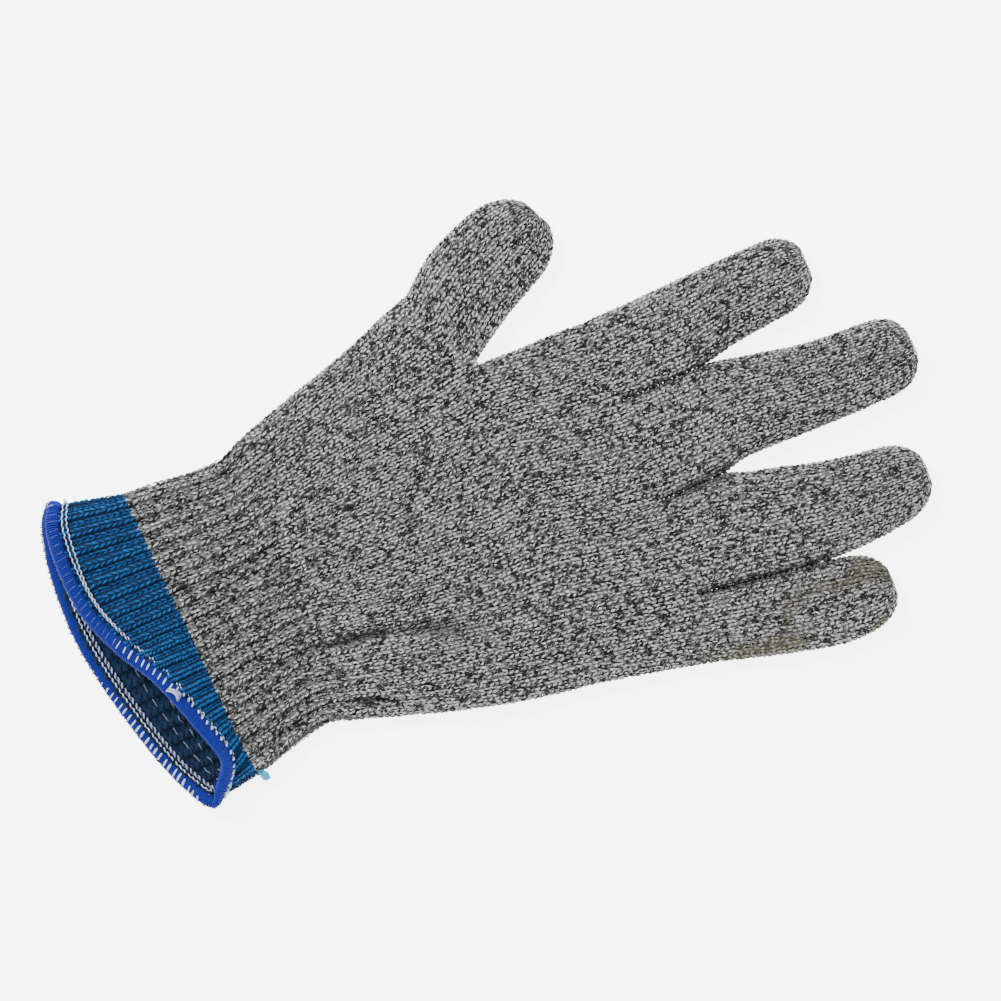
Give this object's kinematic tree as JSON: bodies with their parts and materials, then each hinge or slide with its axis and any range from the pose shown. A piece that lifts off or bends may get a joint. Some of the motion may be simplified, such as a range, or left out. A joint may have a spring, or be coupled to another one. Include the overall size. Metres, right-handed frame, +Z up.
{
  "type": "cut resistant glove",
  "caption": "Knitted cut resistant glove lying flat, palm side up, with a ribbed wrist, a blue band and an overlocked, gaping cuff; wrist, fingers and thumb bend.",
  "frame": {"origin": "bottom centre of the whole glove, on the table it lies on", "axes": "+X runs from the cuff to the fingertips, +Y to the thumb side, +Z up, out of the palm side"},
  "size_m": [0.25, 0.1526, 0.0195],
  "materials": {
    "knit_grey": "plain knit of a marled light grey and black yarn",
    "knit_blue": "ribbed knit of blue yarn",
    "hem_thread": "dense overlock stitching in royal blue thread",
    "looper_thread": "smooth white sewing thread",
    "elastic_yarn": "covered elastic yarn, pale grey"
  },
  "bodies": {
    "palm": {"palm_five_finger": "knit_grey", "palm_four_finger": "knit_grey", "wrist_sleeve": "knit_grey", "index_root_sleeve": "knit_grey", "middle_root_sleeve": "knit_grey", "ring_root_sleeve": "knit_grey", "little_root_sleeve": "knit_grey", "thumb_root_sleeve": "knit_grey"},
    "cuff": {"wrist_rib": "knit_grey", "cuff_band": "knit_blue", "hem_overlock": "hem_thread", "hem_chain_outside": "looper_thread", "hem_chain_inside": "looper_thread", "elastic_yarn_1": "elastic_yarn", "elastic_yarn_2": "elastic_yarn", "elastic_yarn_3": "elastic_yarn", "elastic_yarn_4": "elastic_yarn", "elastic_yarn_5": "elastic_yarn", "hem_thread_end": "looper_thread", "blue_yarn_tail": "knit_blue"},
    "index_base": {"index_proximal": "knit_grey", "index_knuckle_sleeve": "knit_grey"},
    "index_mid": {"index_middle": "knit_grey", "index_end_knuckle_sleeve": "knit_grey"},
    "index_tip": {"index_distal": "knit_grey"},
    "middle_base": {"middle_proximal": "knit_grey", "middle_knuckle_sleeve": "knit_grey"},
    "middle_mid": {"middle_middle": "knit_grey", "middle_end_knuckle_sleeve": "knit_grey"},
    "middle_tip": {"middle_distal": "knit_grey"},
    "ring_base": {"ring_proximal": "knit_grey", "ring_knuckle_sleeve": "knit_grey"},
    "ring_mid": {"ring_middle": "knit_grey", "ring_end_knuckle_sleeve": "knit_grey"},
    "ring_tip": {"ring_distal": "knit_grey"},
    "little_base": {"little_proximal": "knit_grey", "little_knuckle_sleeve": "knit_grey"},
    "little_mid": {"little_middle": "knit_grey", "little_end_knuckle_sleeve": "knit_grey"},
    "little_tip": {"little_distal": "knit_grey"},
    "thumb_base": {"thumb_proximal": "knit_grey", "thumb_knuckle_sleeve": "knit_grey"},
    "thumb_tip": {"thumb_distal": "knit_grey"}
  },
  "joints": [
    {"name": "wrist_bend", "type": "hinge", "parent": "palm", "child": "cuff", "pos_m": [-0.06051, -0.00322, 0.0055], "axis": [0, 1, 0], "range_deg": [-50, 60], "deforming": ["wrist_sleeve"]},
    {"name": "index_root_bend", "type": "hinge", "parent": "palm", "child": "index_base", "pos_m": [0.04698, 0.02313, 0.0048], "axis": [0, -1, 0], "range_deg": [-15, 75], "deforming": ["index_root_sleeve"]},
    {"name": "index_middle_bend", "type": "hinge", "parent": "index_base", "child": "index_mid", "pos_m": [0.06949, 0.02313, 0.0048], "axis": [0, -1, 0], "range_deg": [0, 80], "deforming": ["index_knuckle_sleeve"]},
    {"name": "index_end_bend", "type": "hinge", "parent": "index_mid", "child": "index_tip", "pos_m": [0.08799, 0.02313, 0.0048], "axis": [0, -1, 0], "range_deg": [0, 60], "deforming": ["index_end_knuckle_sleeve"]},
    {"name": "middle_root_bend", "type": "hinge", "parent": "palm", "child": "middle_base", "pos_m": [0.04698, -0.00432, 0.0048], "axis": [0, -1, 0], "range_deg": [-15, 75], "deforming": ["middle_root_sleeve"]},
    {"name": "middle_middle_bend", "type": "hinge", "parent": "middle_base", "child": "middle_mid", "pos_m": [0.07749, -0.00432, 0.0048], "axis": [0, -1, 0], "range_deg": [0, 80], "deforming": ["middle_knuckle_sleeve"]},
    {"name": "middle_end_bend", "type": "hinge", "parent": "middle_mid", "child": "middle_tip", "pos_m": [0.10149, -0.00432, 0.0048], "axis": [0, -1, 0], "range_deg": [0, 60], "deforming": ["middle_end_knuckle_sleeve"]},
    {"name": "ring_root_bend", "type": "hinge", "parent": "palm", "child": "ring_base", "pos_m": [0.04698, -0.03342, 0.0048], "axis": [0, -1, 0], "range_deg": [-15, 75], "deforming": ["ring_root_sleeve"]},
    {"name": "ring_middle_bend", "type": "hinge", "parent": "ring_base", "child": "ring_mid", "pos_m": [0.07349, -0.03342, 0.0048], "axis": [0, -1, 0], "range_deg": [0, 80], "deforming": ["ring_knuckle_sleeve"]},
    {"name": "ring_end_bend", "type": "hinge", "parent": "ring_mid", "child": "ring_tip", "pos_m": [0.09449, -0.03342, 0.0048], "axis": [0, -1, 0], "range_deg": [0, 60], "deforming": ["ring_end_knuckle_sleeve"]},
    {"name": "little_root_bend", "type": "hinge", "parent": "palm", "child": "little_base", "pos_m": [0.04698, -0.05792, 0.0048], "axis": [0, -1, 0], "range_deg": [-15, 75], "deforming": ["little_root_sleeve"]},
    {"name": "little_middle_bend", "type": "hinge", "parent": "little_base", "child": "little_mid", "pos_m": [0.06549, -0.05792, 0.0048], "axis": [0, -1, 0], "range_deg": [0, 80], "deforming": ["little_knuckle_sleeve"]},
    {"name": "little_end_bend", "type": "hinge", "parent": "little_mid", "child": "little_tip", "pos_m": [0.08099, -0.05792, 0.0048], "axis": [0, -1, 0], "range_deg": [0, 60], "deforming": ["little_end_knuckle_sleeve"]},
    {"name": "thumb_root_bend", "type": "hinge", "parent": "palm", "child": "thumb_base", "pos_m": [0.00713, 0.05029, 0.0048], "axis": [0.454, -0.891, 0], "range_deg": [-15, 60], "deforming": ["thumb_root_sleeve"]},
    {"name": "thumb_end_bend", "type": "hinge", "parent": "thumb_base", "child": "thumb_tip", "pos_m": [0.02497, 0.05937, 0.0048], "axis": [0.454, -0.891, 0], "range_deg": [0, 75], "deforming": ["thumb_knuckle_sleeve"]}
  ]
}
